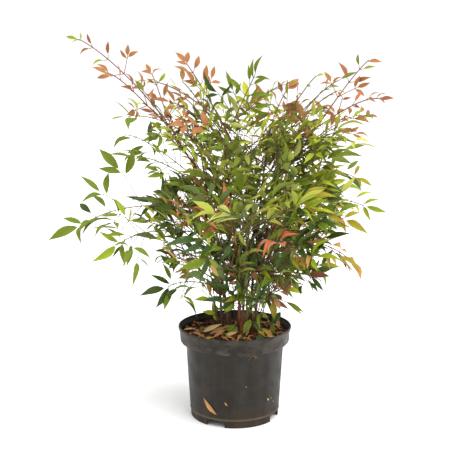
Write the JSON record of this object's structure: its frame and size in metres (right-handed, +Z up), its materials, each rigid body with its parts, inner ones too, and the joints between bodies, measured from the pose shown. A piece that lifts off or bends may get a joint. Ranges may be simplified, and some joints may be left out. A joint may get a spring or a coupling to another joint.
{
  "type": "heavenly bamboo in a nursery pot",
  "caption": "Heavenly bamboo shrub: a clump of slim leaning canes with divided green and bronze leaves, standing in a round black plastic nursery pot.",
  "frame": {"origin": "middle of the flat boss under the pot, level with the foot of its skirt", "axes": "+Z up, +X right and -Y towards the viewer of the plant's front"},
  "size_m": [0.6405, 0.4499, 0.7482],
  "materials": {
    "pot_plastic": "charcoal black moulded plastic, satin, dusty",
    "potting_mix": "dark brown bark potting mix with chips and dry leaves, matt",
    "cane_bark": "red-brown ringed cane bark, matt",
    "shoot_bark": "smooth crimson young shoot, satin",
    "leaf_bronze": "bronze new leaf, satin",
    "leaf_coral": "coral red new leaf, satin",
    "leaf_amber": "amber autumn leaf, satin",
    "leaf_lime": "lime young leaf, satin",
    "leaf_green": "fresh green leaf, satin",
    "leaf_deep": "deep green old leaf, satin"
  },
  "bodies": {
    "root": {"pot": "pot_plastic", "soil": "potting_mix", "cane_west": "cane_bark", "cane_southwest": "cane_bark", "cane_middle": "cane_bark", "cane_centre": "cane_bark", "cane_northeast": "cane_bark", "cane_east": "cane_bark", "cane_north": "cane_bark", "cane_northwest": "cane_bark", "cane_south": "cane_bark", "cane_southeast": "cane_bark", "bough_west": "shoot_bark", "bough_middle": "shoot_bark", "bough_east": "shoot_bark", "spray_west_arch": "leaf_bronze", "spray_west_upper": "leaf_bronze", "spray_west_top": "leaf_bronze", "spray_west_lime": "leaf_lime", "spray_west_high": "leaf_green", "spray_west_middle": "leaf_green", "spray_far_west": "leaf_green", "spray_west_low": "leaf_green", "spray_west_under": "leaf_deep", "spray_west_skirt": "leaf_green", "spray_top_west": "leaf_bronze", "spray_top_middle": "leaf_lime", "spray_top_east": "leaf_bronze", "spray_east_arch": "leaf_bronze", "spray_east_red": "leaf_coral", "spray_east_orange": "leaf_bronze", "spray_east_lime": "leaf_lime", "spray_east_middle": "leaf_deep", "spray_far_east": "leaf_lime", "spray_east_low": "leaf_deep", "spray_east_under": "leaf_amber", "spray_east_skirt": "leaf_deep", "spray_inner_01": "leaf_bronze", "spray_inner_02": "leaf_bronze", "spray_inner_03": "leaf_bronze", "spray_inner_04": "leaf_lime", "spray_inner_05": "leaf_lime", "spray_inner_06": "leaf_lime", "spray_inner_07": "leaf_green", "spray_inner_08": "leaf_green", "spray_inner_09": "leaf_green", "spray_inner_10": "leaf_lime", "spray_inner_11": "leaf_lime", "spray_inner_12": "leaf_lime", "spray_inner_13": "leaf_green", "spray_inner_14": "leaf_green", "spray_inner_15": "leaf_green", "spray_inner_16": "leaf_deep", "spray_inner_17": "leaf_deep", "spray_inner_18": "leaf_deep", "spray_inner_19": "leaf_lime", "spray_inner_20": "leaf_green", "spray_inner_21": "leaf_lime", "spray_inner_22": "leaf_green", "spray_inner_23": "leaf_green"}
  },
  "joints": []
}
